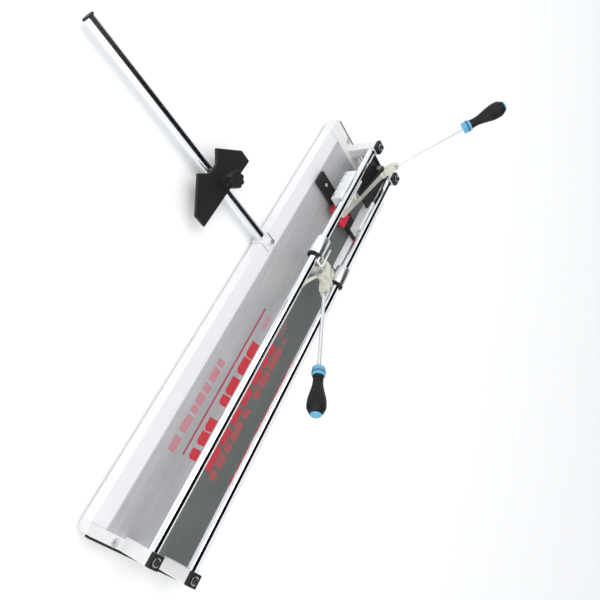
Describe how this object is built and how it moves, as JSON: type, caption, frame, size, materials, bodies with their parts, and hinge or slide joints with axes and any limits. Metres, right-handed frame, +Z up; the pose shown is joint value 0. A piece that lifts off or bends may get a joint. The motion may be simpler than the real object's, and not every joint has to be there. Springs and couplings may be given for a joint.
{
  "type": "tile cutter",
  "caption": "Long push-type tile cutter with a two-tone deck, twin chrome rails, a scoring carriage, a breaking carriage with lever handles, and a side stop on a round bar.",
  "frame": {"origin": "on the floor under the middle of the deck, on the centre foot's face", "axes": "+Y along the rails from the operator's end to the far end, +X to the right, +Z up"},
  "size_m": [0.989, 1.4749, 0.459],
  "materials": {
    "cast_aluminium": "sand-cast, shot-blasted",
    "rim_aluminium": "extruded, satin",
    "deck_board": "mill finish plank under the sheet",
    "light_sheet": "brushed across the deck, with red printed stripes",
    "dark_sheet": "dark grey-green, brushed, with red printed stripes",
    "ridge_steel": "ground steel",
    "rubber": "matt black rubber",
    "chrome": "hard chrome plate",
    "black_plastic": "moulded, fine texture",
    "zinc_bolt": "bright zinc plate",
    "black_screw": "black oxide",
    "black_paint": "black powder coat",
    "bronze": "sintered bronze",
    "nickel_casting": "cream-toned nickel plate on a casting",
    "housing_alloy": "machined, satin",
    "red_paint": "red enamel",
    "tool_steel": "ground carbide-tipped wheel",
    "blue_plastic": "light blue plastic",
    "grip_rubber": "soft black grip"
  },
  "bodies": {
    "base": {"end_casting_near": "cast_aluminium", "end_casting_far": "cast_aluminium", "side_rim_left": "rim_aluminium", "side_rim_right": "rim_aluminium", "centre_beam": "rim_aluminium", "deck_rule": "rim_aluminium", "deck_board_left": "deck_board", "deck_board_right": "deck_board", "deck_sheet_left": "light_sheet", "deck_sheet_right": "dark_sheet", "breaking_ridge": "ridge_steel", "end_strip_near": "rubber", "end_strip_far": "rubber", "corner_feet": "rubber", "centre_foot": "rubber", "rail_left": "chrome", "rail_right": "chrome", "rail_cap_near_left": "black_plastic", "rail_cap_near_right": "black_plastic", "rail_cap_far_left": "black_plastic", "rail_cap_far_right": "black_plastic", "cap_bolts": "zinc_bolt", "casting_bolts": "zinc_bolt", "far_cross_plate": "black_paint", "bar_socket": "cast_aluminium"},
    "score_carriage": {"carriage_bridge": "nickel_casting", "carriage_guard": "nickel_casting", "carriage_sleeve_left": "chrome", "carriage_sleeve_right": "chrome", "carriage_bush_left": "bronze", "carriage_bush_right": "bronze", "carriage_seals": "rubber", "score_pivot_pin": "ridge_steel"},
    "score_lever": {"score_lever": "nickel_casting", "wheel_axle": "ridge_steel", "score_rod": "chrome", "score_collar": "blue_plastic", "score_grip": "grip_rubber", "score_end_cap": "blue_plastic"},
    "scoring_wheel": {"scoring_wheel": "tool_steel"},
    "breaker_carriage": {"breaker_housing_left": "housing_alloy", "breaker_housing_right": "housing_alloy", "breaker_bushes": "bronze", "housing_bolts": "zinc_bolt", "breaker_yoke": "black_paint", "breaker_pivot_pin": "ridge_steel"},
    "breaker_lever": {"breaker_lever": "nickel_casting", "foot_pin": "ridge_steel", "breaker_rod": "chrome", "breaker_collar": "blue_plastic", "breaker_grip": "grip_rubber", "breaker_end_cap": "blue_plastic"},
    "breaker_foot": {"foot_block": "red_paint", "foot_wing_bar": "black_paint", "foot_pads": "rubber"},
    "side_bar": {"side_bar": "chrome", "bar_end_plug": "black_plastic"},
    "stop_fence": {"stop_fence": "black_plastic"},
    "fence_knob": {"fence_knob": "black_plastic"},
    "bar_clamp_screw": {"bar_clamp_screw": "black_screw"}
  },
  "joints": [
    {"name": "score_slide", "type": "slide", "parent": "base", "child": "score_carriage", "axis": [0, 1, 0], "range_m": [-0.78, 0.06]},
    {"name": "score_lever_pivot", "type": "hinge", "parent": "score_carriage", "child": "score_lever", "pos_m": [0, 0.162, 0.136], "axis": [1, 0, 0], "range_deg": [-14, 16]},
    {"name": "wheel_spin", "type": "hinge", "parent": "score_lever", "child": "scoring_wheel", "pos_m": [0, 0.197, 0.065], "axis": [1, 0, 0], "continuous": true},
    {"name": "breaker_slide", "type": "slide", "parent": "base", "child": "breaker_carriage", "axis": [0, 1, 0], "range_m": [-0.07, 0.03]},
    {"name": "breaker_lever_pivot", "type": "hinge", "parent": "breaker_carriage", "child": "breaker_lever", "pos_m": [0, 0.581, 0.14], "axis": [1, 0, 0], "range_deg": [-10, 0]},
    {"name": "foot_level", "type": "hinge", "parent": "breaker_lever", "child": "breaker_foot", "pos_m": [0, 0.417, 0.07], "axis": [1, 0, 0], "range_deg": [-0.5, 10.5]},
    {"name": "bar_slide", "type": "slide", "parent": "base", "child": "side_bar", "axis": [-1, 0, 0], "range_m": [0, 0.02]},
    {"name": "fence_slide", "type": "slide", "parent": "side_bar", "child": "stop_fence", "axis": [1, 0, 0], "range_m": [-0.34, 0.14]},
    {"name": "knob_turn", "type": "hinge", "parent": "stop_fence", "child": "fence_knob", "pos_m": [-0.378, 0.157, 0.084], "axis": [0, 0, 1], "range_deg": [0, 180]},
    {"name": "clamp_turn", "type": "hinge", "parent": "base", "child": "bar_clamp_screw", "pos_m": [-0.163, 0.157, 0.05], "axis": [0, 0, 1], "range_deg": [0, 180]}
  ],
  "couplings": [
    {"joint": "foot_level", "follows": "breaker_lever_pivot", "ratio": -1}
  ]
}
